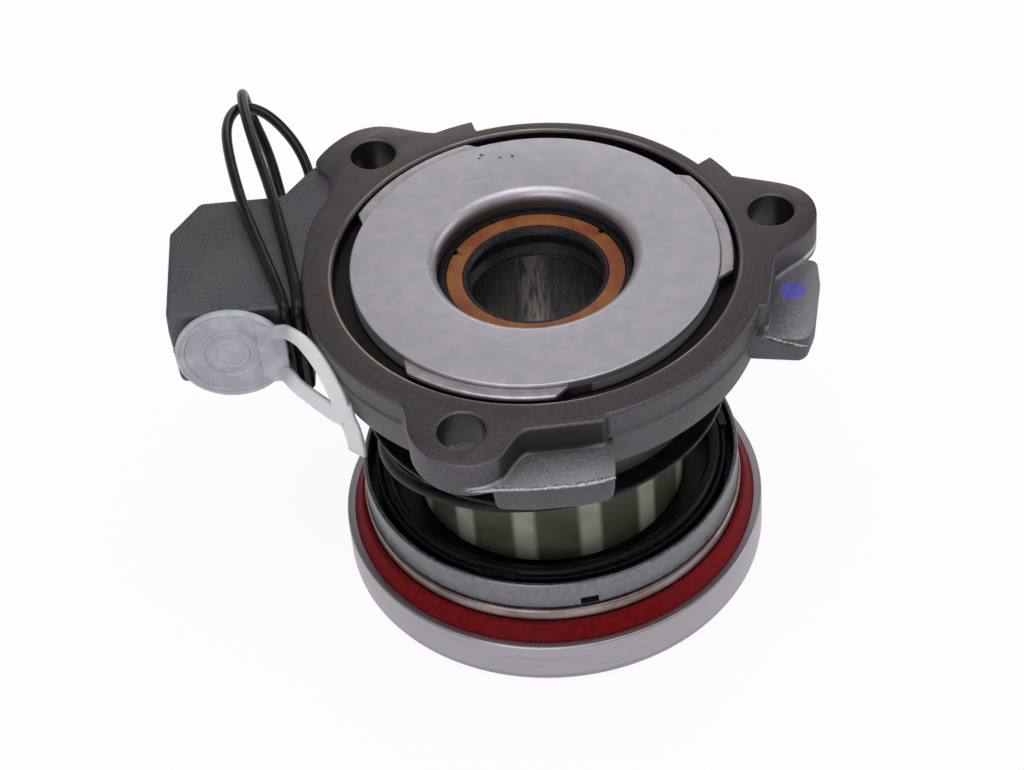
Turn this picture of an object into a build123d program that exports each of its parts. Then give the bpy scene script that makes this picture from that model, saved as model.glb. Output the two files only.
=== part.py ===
from build123d import *
from math import cos, radians, sin
import os

os.makedirs("parts", exist_ok=True)

# Clutch release bearing with its hydraulic actuator, standing on the bearing, flange up.
# Millimetres. The axis is Z, and z = 0 is the face that the clutch fingers touch.

# Driving dimensions: bearing
ring_cover = 5.6
ring_height = 9.8
ring_wall = 1.6
ring_corner = 2.2
ring_foot = 2.4
ring_foot_inset = 2.9
ball_radius = 3.3
ball_count = 24
ball_inset = 1.6
ball_floor = 1.6
ball_play = 0.03
tube_inset = 5.0
land_margin = 0.4
land_rise = 5.7
cage_margin = 0.6
cage_wall = 0.9
cage_play = 0.15
seal_wall = 0.8
seal_rise = 3.0
seal_lip_rise = 0.4

# Driving dimensions: carriage above the bearing
sleeve_wall = 0.9
sleeve_height = 6.6
window_width = 3.4
window_height = 1.7
window_angle = -82.6
clip_wall = 0.5
clip_tab_angle = -111.0
clip_tab_arc = 13.0
cup_wall = 0.8
cup_height = 5.1
cup_gap = 1.4
cup_bore_inset = 2.4
piston_radius = 25.4
piston_wall = 1.9
piston_length = 23.9
piston_deck = 3.0
piston_rib_count = 13
piston_rib = 4.0
piston_foot = 4.0
piston_play = 0.08
hub_wall = 2.1
cup_seal_height = 3.1
cup_seal_wall = 1.3
stroke = 10.0
stroke_reserve = 0.6

# Driving dimensions: spring
wire_radius = 1.2
spring_rise_turns = 1.3
spring_start_angle = -90.0
coil_gap = 0.1
seat_wall = 1.0
seat_margin = 1.45
seat_collar = 5.5
collar_taper = 0.5

# Driving dimensions: guide sleeve and shaft seal
tube_bore_radius = 13.9
sheet = 1.2
tube_end_height = 11.0
neck_radius = 17.66
neck_depth = 12.5
plate_radius = 33.0
plate_wall = 1.5
plate_proud = 0.9
draw_radius = 1.5
seal_depth = 4.1
seal_ring_radius = 16.03
seal_ring_bore_radius = 13.14
seal_ring_wall = 1.0
shaft_radius = 11.6

# Driving dimensions: housing casting
face_radius = 41.8
back_radius = 39.2
back_from = 35.0
back_to = 103.0
skirt_depth = 13.9
skirt_wall = 3.4
skirt_draft = 1.8
parting_depth = 6.0
undercut = 1.1
cylinder_wall = 2.7
cylinder_step = 1.9
chamber_floor = 3.0
bolt_circle_radius = 43.78
bolt_hole_radius = 4.2
ear_angles = (10.0, 130.0, 250.0)
ear_radius = 8.3
ear_flare_radius = 26.3
ear_depth = 8.6
groove_radius = 36.5
groove_depth = 3.2
pad_arc = 46.0
pad_drop = 0.25
lug_angles = (-90.4, -12.2)
lug_reach = 50.2
lug_width = 21.2
lug_height = 6.4
pocket_depth = 0.9

# Driving dimensions: hydraulic block and port
block_left = -66.2
block_front = -5.4
block_back = 25.6
block_corner_x = 5.5
block_corner_y = 8.0
block_drop = 1.4
block_height = 17.3
port_x = -55.7
port_drop = 7.2
port_radius = 5.6
port_depth = 14.0
pilot_radius = 3.4
pilot_depth = 5.0
feed_radius = 1.6
port_seal_wall = 1.8

# Driving dimensions: transport cap, strap and loose sealing ring
cap_radius = 9.2
cap_height = 3.4
cap_wall = 1.0
cap_plug_depth = 6.0
strap_width = 3.8
strap_wall = 1.1
loose_ring_wire = 1.1

# Fits
slip = 0.15
press = 0.0
seat_gap = 0.1

# Heights of the stack, from the bearing face up
land_top = ring_height + land_rise
sleeve_floor = land_top + sleeve_wall
sleeve_rim = land_top + sleeve_height
clip_top = sleeve_floor + clip_wall
cup_floor = sleeve_floor + cup_wall
cup_rim = sleeve_floor + cup_height
piston_top = cup_floor + piston_length
chamber_top = piston_top + cup_seal_height + stroke + stroke_reserve
shoulder = chamber_top + chamber_floor
plate_top = shoulder + neck_depth
plate_seat = plate_top - plate_wall
face = plate_top - plate_proud
skirt_end = face - skirt_depth
parting = face - parting_depth
ear_underside = face - ear_depth
lug_underside = parting - lug_height
block_top = face - block_drop
block_underside = block_top - block_height
recess_top = skirt_end + 4.6
cylinder_end = piston_top - 4.5
seat_top = cylinder_end + 4.9

# Radii that follow from the fits
tube_radius = tube_bore_radius + sheet
neck_outer_radius = neck_radius + sheet
chamber_radius = piston_radius + 0.2
cylinder_radius = chamber_radius + cylinder_wall
body_radius = cylinder_radius + cylinder_step
hub_radius = tube_radius + piston_play + hub_wall
collar_radius = cylinder_radius + seat_wall + collar_taper
spring_radius = collar_radius + slip + wire_radius
seat_radius = spring_radius + wire_radius + seat_margin
cup_inner_radius = spring_radius + wire_radius + slip
cup_radius = cup_inner_radius + cup_wall
cup_bore_radius = piston_radius - cup_bore_inset
sleeve_radius = cup_radius + cup_gap + sleeve_wall
land_radius = sleeve_radius + land_margin
ball_circle_radius = land_radius - ball_inset
ring_radius = ball_circle_radius + ring_cover
sleeve_tube_radius = ball_circle_radius - tube_inset
ring_foot_radius = sleeve_tube_radius - ring_foot_inset
race_radius = ball_radius + ball_play
ball_height = ring_foot + ball_floor + ball_radius


def polar(radius, angle, height=0.0):
    return (radius * cos(radians(angle)), radius * sin(radians(angle)), height)


def radial_plane(angle, height=0.0):
    return Plane(origin=(0, 0, height), x_dir=polar(1, angle), z_dir=(0, 0, 1))


def section_plane(angle):
    return Plane(origin=(0, 0, 0), x_dir=polar(1, angle), z_dir=polar(1, angle - 90))


def along(start, end):
    return Plane(origin=start, z_dir=tuple(b - a for a, b in zip(start, end)))


neck_bore = neck_outer_radius + slip
tube_hole = tube_radius + slip
skirt_bore = skirt_end_radius = face_radius - skirt_draft - skirt_wall + 0.5
groove_floor = face - groove_depth
lip_draft = 0.5
port_height = block_top - port_drop
o_ring_seat = 1.7
o_ring_wall = 2.0

# Housing: one die casting. The block comes first, so that its edges round off before it joins the rest.
with BuildPart() as housing:
    with BuildSketch(Plane.XY.offset(parting)) as block_outline:
        with BuildLine():
            Polyline(
                (block_left, block_front),
                (-38.4, block_front),
                (-35.2, 17.0),
                (-33.0, 28.0),
                (-36.8, 35.6),
                (-40.4, 32.2),
                (-45.4, block_back),
                (block_left + block_corner_x, block_back),
                (block_left, block_back - block_corner_y),
                close=True,
            )
        make_face()
        fillet(block_outline.vertices().group_by(Axis.X)[0], radius=1.6)
    extrude(amount=block_top - parting, taper=2)
    with BuildSketch(Plane.XY.offset(parting)) as block_lower:
        with BuildLine():
            Polyline(
                (block_left, block_front),
                (-39.2, block_front),
                (-39.2, block_back),
                (block_left + block_corner_x, block_back),
                (block_left, block_back - block_corner_y),
                close=True,
            )
        make_face()
        fillet(block_lower.vertices().group_by(Axis.X)[0], radius=1.6)
    extrude(amount=parting - block_underside, dir=(0, 0, -1), taper=2)
    underside_edges = housing.faces().sort_by(Axis.Z)[0].edges().sort_by(Axis.X)[:-1]
    fillet(underside_edges, radius=2.0)

    # Cylinder, neck, recess, groove and rim are one turned form
    with BuildSketch(section_plane(0)):
        with BuildLine():
            Polyline(
                (tube_hole, chamber_top),
                (tube_hole, shoulder - o_ring_seat),
                (tube_radius + o_ring_wall, shoulder - o_ring_seat),
                (tube_radius + o_ring_wall, shoulder),
                (neck_bore, shoulder),
                (neck_bore, plate_seat - 0.8),
                (neck_bore + 0.8, plate_seat),
                (plate_radius - 0.4, plate_seat),
                (plate_radius - 0.4, groove_floor),
                (groove_radius, groove_floor),
                (groove_radius, face),
                (back_radius - 0.8, face),
                (back_radius, face - 0.8),
                (back_radius - 0.5, skirt_end),
                (skirt_bore, skirt_end),
                (skirt_bore - 0.8, recess_top),
                (body_radius, recess_top),
                (body_radius, seat_top),
                (cylinder_radius, seat_top),
                (cylinder_radius, cylinder_end),
                (chamber_radius + 0.6, cylinder_end),
                (chamber_radius, cylinder_end + 1.2),
                (chamber_radius, chamber_top),
                close=True,
            )
        make_face()
    revolve(axis=Axis.Z)

    # The wide part of the flange and its skirt, with the ridge of the parting line
    with BuildSketch(section_plane(back_to)) as skirt_section:
        with BuildLine():
            Polyline(
                (back_radius - 1.2, face),
                (face_radius - 0.4, face),
                (face_radius, face - 0.4),
                (face_radius - lip_draft, parting + 0.8),
                (face_radius - lip_draft + 0.3, parting + 0.4),
                (face_radius - 0.9, parting),
                (face_radius - skirt_draft, skirt_end),
                (back_radius - 1.2, skirt_end),
                close=True,
            )
        make_face()
    revolve(axis=Axis.Z, revolution_arc=360 - back_to + back_from)

    # Bolt ears
    for angle in ear_angles:
        with BuildSketch(radial_plane(angle, ear_underside)):
            Circle(ear_flare_radius)
            with Locations((bolt_circle_radius, 0)):
                Circle(ear_radius)
            make_hull()
            Circle(back_radius - 1.2, mode=Mode.SUBTRACT)
    extrude(amount=ear_depth)

    # Stop lugs below the parting line
    for angle in lug_angles:
        with BuildSketch(radial_plane(angle, lug_underside)) as lug_outline:
            with Locations(((lug_reach + back_radius) / 2, 0)):
                Rectangle(lug_reach - back_radius, lug_width)
            fillet(lug_outline.vertices().group_by(Axis.X)[-1], radius=1.8)
    extrude(amount=lug_height)

    # As-cast pads that interrupt the groove beside the plate
    for angle in ear_angles:
        with BuildSketch(section_plane(angle - pad_arc / 2)):
            with Locations(((plate_radius + groove_radius) / 2 + 0.15, groove_floor - 0.2)):
                Rectangle(groove_radius - plate_radius + 0.1, groove_depth - pad_drop + 0.2, align=(Align.CENTER, Align.MIN))
        revolve(axis=Axis.Z, revolution_arc=pad_arc)

    # Pockets above the stop lugs
    for angle in lug_angles:
        with BuildSketch(section_plane(angle - 6)):
            with Locations((face_radius - pocket_depth, parting)):
                Rectangle(12, face - parting + 1, align=(Align.MIN, Align.MIN))
        revolve(axis=Axis.Z, revolution_arc=18, mode=Mode.SUBTRACT)

    # Bolt holes
    with BuildSketch(Plane.XY.offset(face)):
        with PolarLocations(bolt_circle_radius, len(ear_angles), start_angle=ear_angles[0]):
            Circle(bolt_hole_radius)
    extrude(amount=-ear_depth, mode=Mode.SUBTRACT)

    # Feed passage from the port to the top of the chamber, inside a boss that crosses the recess
    feed_start = (port_x, block_front + port_depth + pilot_depth / 2, port_height)
    feed_end = (-chamber_radius + 1.4, 4.8, chamber_top - 0.9)
    with BuildSketch(along(feed_end, feed_start)):
        Circle(feed_radius + 2.6)
    extrude(amount=24)
    with BuildSketch(Plane.XY.offset(cylinder_end)):
        Circle(chamber_radius)
    extrude(amount=chamber_top - cylinder_end, mode=Mode.SUBTRACT)
    with BuildSketch(along(feed_start, feed_end)):
        Circle(feed_radius)
    extrude(amount=33.5, mode=Mode.SUBTRACT)

    # Stepped port
    with BuildSketch(Plane.XZ.offset(-block_front)):
        with Locations((port_x, port_height)):
            Circle(port_radius)
    extrude(amount=-port_depth, mode=Mode.SUBTRACT)
    with BuildSketch(Plane.XZ.offset(-block_front - port_depth)):
        with Locations((port_x, port_height)):
            Circle(pilot_radius)
    extrude(amount=-pilot_depth, mode=Mode.SUBTRACT)
housing.part.label = "housing"
export_step(housing.part, "parts/housing.step")

# Guide sleeve: plate, neck, shoulder and tube drawn from one sheet
with BuildPart() as guide_sleeve:
    with BuildSketch(section_plane(0)) as guide_section:
        with BuildLine():
            Polyline(
                (tube_bore_radius, tube_end_height),
                (tube_bore_radius, shoulder + sheet),
                (neck_radius, shoulder + sheet),
                (neck_radius, plate_top),
                (plate_radius, plate_top),
                (plate_radius, plate_seat),
                (neck_outer_radius, plate_seat),
                (neck_outer_radius, shoulder),
                (tube_radius, shoulder),
                (tube_radius, tube_end_height),
                close=True,
            )
        make_face()
        rolled = guide_section.vertices().filter_by(lambda v: abs(v.X - neck_radius) < 0.01)
        fillet(rolled.sort_by(lambda v: v.Y)[-1], radius=draw_radius)
    revolve(axis=Axis.Z)
guide_sleeve.part.label = "guide_sleeve"
export_step(guide_sleeve.part, "parts/guide_sleeve.step")

# Static seal under the shoulder, pressed to the shape of its seat
with BuildPart() as sleeve_o_ring:
    with BuildSketch(section_plane(0)):
        with Locations((tube_radius + o_ring_wall / 2, shoulder - o_ring_seat / 2)):
            RectangleRounded(o_ring_wall, o_ring_seat, 0.7)
    revolve(axis=Axis.Z)
sleeve_o_ring.part.label = "sleeve_o_ring"
export_step(sleeve_o_ring.part, "parts/sleeve_o_ring.step")

# Shaft seal: pressed case, rubber body with two lips, garter spring and notched ring
seal_top = plate_top - seal_depth
case_top = seal_top + 0.2
case_base = seal_top - 5.1
with BuildPart() as seal_case:
    with BuildSketch(section_plane(0)):
        with BuildLine():
            Polyline(
                (neck_radius, case_base),
                (neck_radius, case_top),
                (seal_ring_radius + 0.12, case_top),
                (seal_ring_radius + 0.12, case_top - 0.75),
                (neck_radius - 0.75, case_top - 0.75),
                (neck_radius - 0.75, case_base + 0.75),
                (neck_radius - 3.0, case_base + 0.75),
                (neck_radius - 3.0, case_base),
                close=True,
            )
        make_face()
    revolve(axis=Axis.Z)
    outer_rim = seal_case.edges().filter_by(GeomType.CIRCLE).group_by(Axis.Z)[-1].sort_by(SortBy.RADIUS)[-1]
    fillet(outer_rim, radius=0.4)
seal_case.part.label = "seal_case"
export_step(seal_case.part, "parts/seal_case.step")

body_top = seal_top - seal_ring_wall
with BuildPart() as seal_lip:
    with BuildSketch(section_plane(0)):
        with BuildLine():
            Polyline(
                (neck_radius - 0.75, case_base + 0.75),
                (neck_radius - 0.75, body_top),
                (seal_ring_bore_radius - 0.1, body_top),
                (seal_ring_bore_radius - 0.1, seal_top - 0.2),
                (shaft_radius + 0.9, seal_top - 0.2),
                (shaft_radius + 0.35, seal_top - 0.9),
                (shaft_radius + 0.7, seal_top - 1.8),
                (shaft_radius + 1.9, seal_top - 2.7),
                (shaft_radius + 1.9, case_base + 0.3),
                (shaft_radius + 0.7, case_base - 0.8),
                (shaft_radius + 0.35, case_base - 1.4),
                (shaft_radius + 0.7, case_base - 1.9),
                (tube_bore_radius - 0.3, case_base - 1.9),
                (tube_bore_radius - 0.3, case_base - 0.4),
                (neck_radius - 3.0, case_base),
                (neck_radius - 3.0, case_base + 0.75),
                close=True,
            )
        make_face()
    revolve(axis=Axis.Z)
seal_lip.part.label = "seal_lip"
export_step(seal_lip.part, "parts/seal_lip.step")

garter_wire = 0.45
with BuildPart() as garter_spring:
    with BuildSketch(section_plane(0)):
        with Locations((tube_bore_radius - 0.3 + garter_wire, case_base - 1.2)):
            Circle(garter_wire)
    revolve(axis=Axis.Z)
garter_spring.part.label = "garter_spring"
export_step(garter_spring.part, "parts/garter_spring.step")

seal_notch_angles = (152.5, 37.4, -86.4)
with BuildPart() as seal_ring:
    with BuildSketch(Plane.XY.offset(body_top)):
        Circle(seal_ring_radius)
        Circle(seal_ring_bore_radius, mode=Mode.SUBTRACT)
        for angle in seal_notch_angles:
            with PolarLocations(seal_ring_radius, 1, start_angle=angle):
                Rectangle(1.1, 1.0, mode=Mode.SUBTRACT)
    extrude(amount=seal_ring_wall)
seal_ring.part.label = "seal_ring"
export_step(seal_ring.part, "parts/seal_ring.step")

# Piston: outer wall, hub, deck and ribs moulded in one, open towards the bearing
hub_bore = tube_radius + piston_play
with BuildPart() as piston:
    with BuildSketch(section_plane(0)):
        with BuildLine():
            Polyline(
                (hub_bore, cup_floor - piston_foot + 1.0),
                (hub_bore, piston_top - 1.0),
                (hub_bore + 1.0, piston_top),
                (piston_radius - 0.6, piston_top),
                (piston_radius, piston_top - 0.6),
                (piston_radius, cup_floor + 0.5),
                (piston_radius - 0.5, cup_floor),
                (piston_radius - piston_wall, cup_floor),
                (piston_radius - piston_wall, piston_top - piston_deck),
                (hub_radius, piston_top - piston_deck),
                (hub_radius, cup_floor - piston_foot + 1.0),
                (hub_radius - 0.5, cup_floor - piston_foot),
                (hub_bore + 0.5, cup_floor - piston_foot),
                close=True,
            )
        make_face()
    revolve(axis=Axis.Z)
    rib_base = cup_floor + 3.0
    rib_length = piston_radius - piston_wall - hub_radius + 0.6
    with BuildSketch(Plane.XY.offset(rib_base)):
        with PolarLocations(hub_radius - 0.3 + rib_length / 2, piston_rib_count, start_angle=-76.4):
            Rectangle(rib_length, piston_rib)
    extrude(amount=piston_top - piston_deck - rib_base)
piston.part.label = "piston"
export_step(piston.part, "parts/piston.step")

# Cup seal of the piston: a base ring with two lips that spread towards the fluid
with BuildPart() as piston_seal:
    with BuildSketch(section_plane(0)):
        with BuildLine():
            Polyline(
                (hub_bore + 1.2, piston_top),
                (tube_radius + 0.02, piston_top + cup_seal_height - 0.6),
                (tube_radius + 0.25, piston_top + cup_seal_height),
                (tube_radius + cup_seal_wall, piston_top + cup_seal_height),
                (tube_radius + cup_seal_wall + 1.1, piston_top + 1.3),
                (chamber_radius - cup_seal_wall - 1.1, piston_top + 1.3),
                (chamber_radius - cup_seal_wall, piston_top + cup_seal_height),
                (chamber_radius - 0.25, piston_top + cup_seal_height),
                (chamber_radius - 0.02, piston_top + cup_seal_height - 0.6),
                (piston_radius - 0.9, piston_top),
                close=True,
            )
        make_face()
    revolve(axis=Axis.Z)
piston_seal.part.label = "piston_seal"
export_step(piston_seal.part, "parts/piston_seal.step")

# Seat for the upper end of the spring: flange against the shoulder of the cylinder, collar inside the spring
with BuildPart() as spring_seat:
    with BuildSketch(section_plane(0)) as seat_section:
        with BuildLine():
            Polyline(
                (cylinder_radius, seat_top - seat_wall),
                (cylinder_radius, seat_top),
                (seat_radius, seat_top),
                (seat_radius, seat_top - seat_wall),
                (collar_radius, seat_top - seat_wall),
                (collar_radius - collar_taper, seat_top - seat_collar),
                (collar_radius - collar_taper - seat_wall, seat_top - seat_collar),
                (collar_radius - seat_wall, seat_top - seat_wall),
                close=True,
            )
        make_face()
    revolve(axis=Axis.Z)
spring_seat.part.label = "spring_seat"
export_step(spring_seat.part, "parts/spring_seat.step")

# Preload spring: one closed coil at each end, and a steep rise between them
spring_base = cup_floor + wire_radius
spring_top = seat_top - seat_wall - wire_radius
coil_pitch = 2 * wire_radius + coil_gap
rise = spring_top - spring_base - 2 * coil_pitch
rise_end_angle = spring_start_angle + 360 * spring_rise_turns
with BuildPart() as preload_spring:
    for angle, low, high, pitch in (
        (spring_start_angle, spring_base, spring_base + coil_pitch, coil_pitch),
        (spring_start_angle, spring_base + coil_pitch, spring_top - coil_pitch, rise / spring_rise_turns),
        (rise_end_angle, spring_top - coil_pitch, spring_top, coil_pitch),
    ):
        with BuildLine(radial_plane(angle)) as coil:
            Helix(pitch=pitch, height=high - low, radius=spring_radius, center=(0, 0, low))
        with BuildSketch(Plane(origin=coil.line @ 0, z_dir=coil.line % 0)):
            Circle(wire_radius)
        sweep(path=coil.line)
    with Locations(polar(spring_radius, spring_start_angle, spring_base + coil_pitch)):
        Sphere(wire_radius)
    with Locations(polar(spring_radius, rise_end_angle, spring_top - coil_pitch)):
        Sphere(wire_radius)
preload_spring.part.label = "preload_spring"
export_step(preload_spring.part, "parts/preload_spring.step")

# Spring cup under the lower end of the spring and the foot of the piston
with BuildPart() as spring_cup:
    with BuildSketch(section_plane(0)) as cup_section:
        with BuildLine():
            Polyline(
                (cup_bore_radius, sleeve_floor),
                (cup_bore_radius, cup_floor),
                (cup_inner_radius, cup_floor),
                (cup_inner_radius, cup_rim),
                (cup_radius, cup_rim),
                (cup_radius, sleeve_floor),
                close=True,
            )
        make_face()
        fillet(cup_section.vertices().sort_by_distance((cup_radius, 0, sleeve_floor))[0], radius=1.0)
    revolve(axis=Axis.Z)
spring_cup.part.label = "spring_cup"
export_step(spring_cup.part, "parts/spring_cup.step")

# Bearing sleeve: cup with windows above, tube through the inner ring, rolled over below
flare_radius = sleeve_tube_radius + 1.6
flare_height = ring_foot + 0.5
with BuildPart() as bearing_sleeve:
    with BuildSketch(section_plane(0)) as sleeve_section:
        with BuildLine():
            Polyline(
                (sleeve_tube_radius - sleeve_wall, flare_height),
                (sleeve_tube_radius - sleeve_wall, sleeve_floor),
                (sleeve_radius - sleeve_wall, sleeve_floor),
                (sleeve_radius - sleeve_wall, sleeve_rim),
                (sleeve_radius, sleeve_rim),
                (sleeve_radius, land_top),
                (sleeve_tube_radius, land_top),
                (sleeve_tube_radius, flare_height + sleeve_wall),
                (flare_radius, flare_height + sleeve_wall),
                (flare_radius, flare_height),
                close=True,
            )
        make_face()
    revolve(axis=Axis.Z)
    with BuildSketch(Plane.XY.offset(sleeve_floor - 0.1)):
        with PolarLocations(sleeve_radius, 3, start_angle=window_angle):
            Rectangle(4, window_width)
    extrude(amount=window_height, mode=Mode.SUBTRACT)
bearing_sleeve.part.label = "bearing_sleeve"
export_step(bearing_sleeve.part, "parts/bearing_sleeve.step")

# Retaining clip: flat ring around the cup, with three tabs hooked over its rim
clip_inner_radius = cup_radius + seat_gap
with BuildPart() as retaining_clip:
    with BuildSketch(section_plane(0)):
        with Locations((clip_inner_radius, sleeve_floor)):
            Rectangle(sleeve_radius - sleeve_wall - clip_inner_radius - 0.1, clip_wall, align=Align.MIN)
    revolve(axis=Axis.Z)
    for index in range(3):
        with BuildSketch(section_plane(clip_tab_angle - clip_tab_arc / 2 + 120 * index)):
            with BuildLine():
                Polyline(
                    (clip_inner_radius, sleeve_floor),
                    (clip_inner_radius, cup_rim),
                    (cup_inner_radius + 0.05, cup_rim),
                    (cup_inner_radius + 0.05, cup_rim + clip_wall),
                    (clip_inner_radius + clip_wall, cup_rim + clip_wall),
                    (clip_inner_radius + clip_wall, sleeve_floor),
                    close=True,
                )
            make_face()
    revolve(axis=Axis.Z, revolution_arc=clip_tab_arc)
retaining_clip.part.label = "retaining_clip"
export_step(retaining_clip.part, "parts/retaining_clip.step")

# Bearing rings with their grooves
ring_bottom = flare_height + sleeve_wall
with BuildPart() as inner_ring:
    with BuildSketch(section_plane(0)):
        with BuildLine():
            Polyline(
                (sleeve_tube_radius, ring_bottom),
                (flare_radius, ring_bottom),
                (flare_radius, ball_height - 0.3),
                (land_radius, ring_height + 1.4),
                (land_radius, land_top - 0.4),
                (land_radius - 0.4, land_top),
                (sleeve_tube_radius, land_top),
                close=True,
            )
        make_face()
        with Locations((ball_circle_radius, ball_height)):
            Circle(race_radius, mode=Mode.SUBTRACT)
    revolve(axis=Axis.Z)
inner_ring.part.label = "inner_ring"
export_step(inner_ring.part, "parts/inner_ring.step")

with BuildPart() as outer_ring:
    with BuildSketch(section_plane(0)) as ring_section:
        with BuildLine():
            Polyline(
                (ring_foot_radius, 0),
                (ring_foot_radius, ring_foot),
                (flare_radius + 1.8, ring_foot),
                (flare_radius + 2.5, ring_foot + 0.6),
                (ring_radius - ring_wall, ball_height + 0.2),
                (ring_radius - ring_wall, ring_height),
                (ring_radius - 0.4, ring_height),
                (ring_radius, ring_height - 0.4),
                (ring_radius, 0),
                close=True,
            )
        make_face()
        fillet(ring_section.vertices().sort_by_distance((ring_radius, 0, 0))[0], radius=ring_corner)
        with Locations((ball_circle_radius, ball_height)):
            Circle(race_radius, mode=Mode.SUBTRACT)
    revolve(axis=Axis.Z)
outer_ring.part.label = "outer_ring"
export_step(outer_ring.part, "parts/outer_ring.step")

with BuildPart() as balls:
    with Locations(Plane.XY.offset(ball_height)):
        with PolarLocations(ball_circle_radius, ball_count):
            Sphere(ball_radius)
balls.part.label = "balls"
export_step(balls.part, "parts/balls.step")

# Cage: a cone of sheet through the ball centres, with one round pocket for each ball
with BuildPart() as ball_cage:
    with BuildSketch(section_plane(0)):
        with Locations((ball_circle_radius - 0.15, ball_height - 0.15)):
            Rectangle(2 * (ball_radius + cage_margin), cage_wall, rotation=45)
    revolve(axis=Axis.Z)
    with Locations(Plane.XY.offset(ball_height)):
        with PolarLocations(ball_circle_radius, ball_count):
            Sphere(ball_radius + cage_play, mode=Mode.SUBTRACT)
ball_cage.part.label = "ball_cage"
export_step(ball_cage.part, "parts/ball_cage.step")

# Red seal: pressed into the outer ring, with a lip that runs over the inner ring's land
seal_foot = ring_radius - ring_wall
with BuildPart() as bearing_seal:
    with BuildSketch(section_plane(0)):
        with BuildLine():
            Polyline(
                (seal_foot, ring_height - seal_wall),
                (seal_foot, ring_height + 0.1),
                (land_radius + 0.9, ring_height + seal_rise),
                (land_radius + 0.12, ring_height + seal_rise + seal_lip_rise),
                (land_radius + 0.08, ring_height + seal_rise - 0.3),
                (land_radius + 0.6, ring_height + seal_rise - 0.7),
                (seal_foot - 0.5, ring_height - 0.1),
                (seal_foot - 0.5, ring_height - seal_wall),
                close=True,
            )
        make_face()
    revolve(axis=Axis.Z)
bearing_seal.part.label = "bearing_seal"
export_step(bearing_seal.part, "parts/bearing_seal.step")

# Seal at the bottom of the hydraulic port
with BuildPart() as port_seal:
    with BuildSketch(Plane.XZ.offset(-block_front - port_depth)):
        with Locations((port_x, port_height)):
            Circle(port_radius)
            Circle(port_radius - port_seal_wall, mode=Mode.SUBTRACT)
    extrude(amount=port_seal_wall)
    fillet(port_seal.edges().filter_by(GeomType.CIRCLE), radius=0.6)
port_seal.part.label = "port_seal"
export_step(port_seal.part, "parts/port_seal.step")

# Transport cap over the port, one moulding with its two-armed strap
cap_face = block_front - cap_height
tab_edge = port_x + cap_radius + 1.3
tab_middle = cap_face + 0.3
strap_meeting = (-35.7, -22.6, 57.5)
upper_arm = (
    (tab_edge - 1.6, tab_middle, 64.3),
    (-44.4, -9.8, 66.0),
    (-41.6, -13.8, 66.9),
    (-38.9, -18.0, 65.6),
    (-36.7, -21.6, 62.2),
    strap_meeting,
)
lower_arm = (
    (tab_edge - 1.6, tab_middle, 55.8),
    (-43.9, -12.6, 54.4),
    (-40.9, -17.0, 54.3),
    (-38.2, -20.4, 54.6),
    (-35.6, -22.3, 54.0),
)
tail = (
    strap_meeting,
    (-34.9, -21.4, 52.5),
    (-34.9, -17.0, 45.0),
    (-35.2, -12.5, 38.5),
    (-35.4, -10.5, 35.5),
)


def strap_sections(points):
    planes = []
    for index, point in enumerate(points):
        before = points[max(index - 1, 0)]
        after = points[min(index + 1, len(points) - 1)]
        heading = Vector(*after) - Vector(*before)
        outward = Vector(point[0], point[1], 0).normalized()
        outward = outward - heading.normalized() * outward.dot(heading.normalized())
        planes.append(Plane(origin=point, x_dir=outward, z_dir=heading))
    return planes


with BuildPart() as transport_cap:
    with BuildSketch(Plane.XZ.offset(-block_front)):
        with Locations((port_x, port_height)):
            Circle(cap_radius)
    extrude(amount=cap_height)
    fillet(transport_cap.edges().filter_by(GeomType.CIRCLE).sort_by(Axis.Y)[0], radius=0.7)
    with BuildSketch(Plane.XZ.offset(-cap_face)):
        with Locations((port_x, port_height)):
            Circle(cap_radius - 0.9)
            Circle(cap_radius - 1.6, mode=Mode.SUBTRACT)
            Circle(4.5)
            Circle(4.0, mode=Mode.SUBTRACT)
            Circle(3.2)
            Circle(2.8, mode=Mode.SUBTRACT)
    extrude(amount=0.25)
    with BuildSketch(Plane.XZ.offset(-block_front)):
        with Locations((port_x, port_height)):
            Circle(cap_radius - cap_wall)
            Circle(port_radius - 0.1, mode=Mode.SUBTRACT)
    extrude(amount=cap_height - cap_wall, mode=Mode.SUBTRACT)
    with BuildSketch(Plane.XZ.offset(-block_front)):
        with Locations((port_x, port_height)):
            Circle(port_radius - 0.1)
    extrude(amount=-cap_plug_depth)
    with BuildSketch(Plane.XZ.offset(-block_front + cap_plug_depth * -1)):
        with Locations((port_x, port_height)):
            Circle(port_radius - 0.1 - cap_wall)
    extrude(amount=cap_plug_depth + cap_height - cap_wall, mode=Mode.SUBTRACT)
    with BuildSketch(Plane.XZ.offset(-tab_middle - 0.5)):
        with BuildLine():
            Polyline(
                (port_x + 5.5, port_height + 7.2),
                (tab_edge - 1.2, port_height + 5.4),
                (tab_edge, port_height + 2.6),
                (tab_edge, port_height - 3.4),
                (tab_edge - 1.2, port_height - 6.4),
                (port_x + 5.5, port_height - 7.2),
                close=True,
            )
        make_face()
    extrude(amount=1.0)
    for points in (upper_arm, lower_arm, tail):
        for plane in strap_sections(points):
            with BuildSketch(plane):
                RectangleRounded(strap_wall, strap_width, 0.3)
        loft()
    with BuildSketch(Plane.XZ.offset(-block_front)):
        with Locations((port_x - cap_radius, port_height)):
            Rectangle(1.8, 1.2)
    extrude(amount=1.2)
transport_cap.part.label = "transport_cap"
export_step(transport_cap.part, "parts/transport_cap.step")

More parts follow.
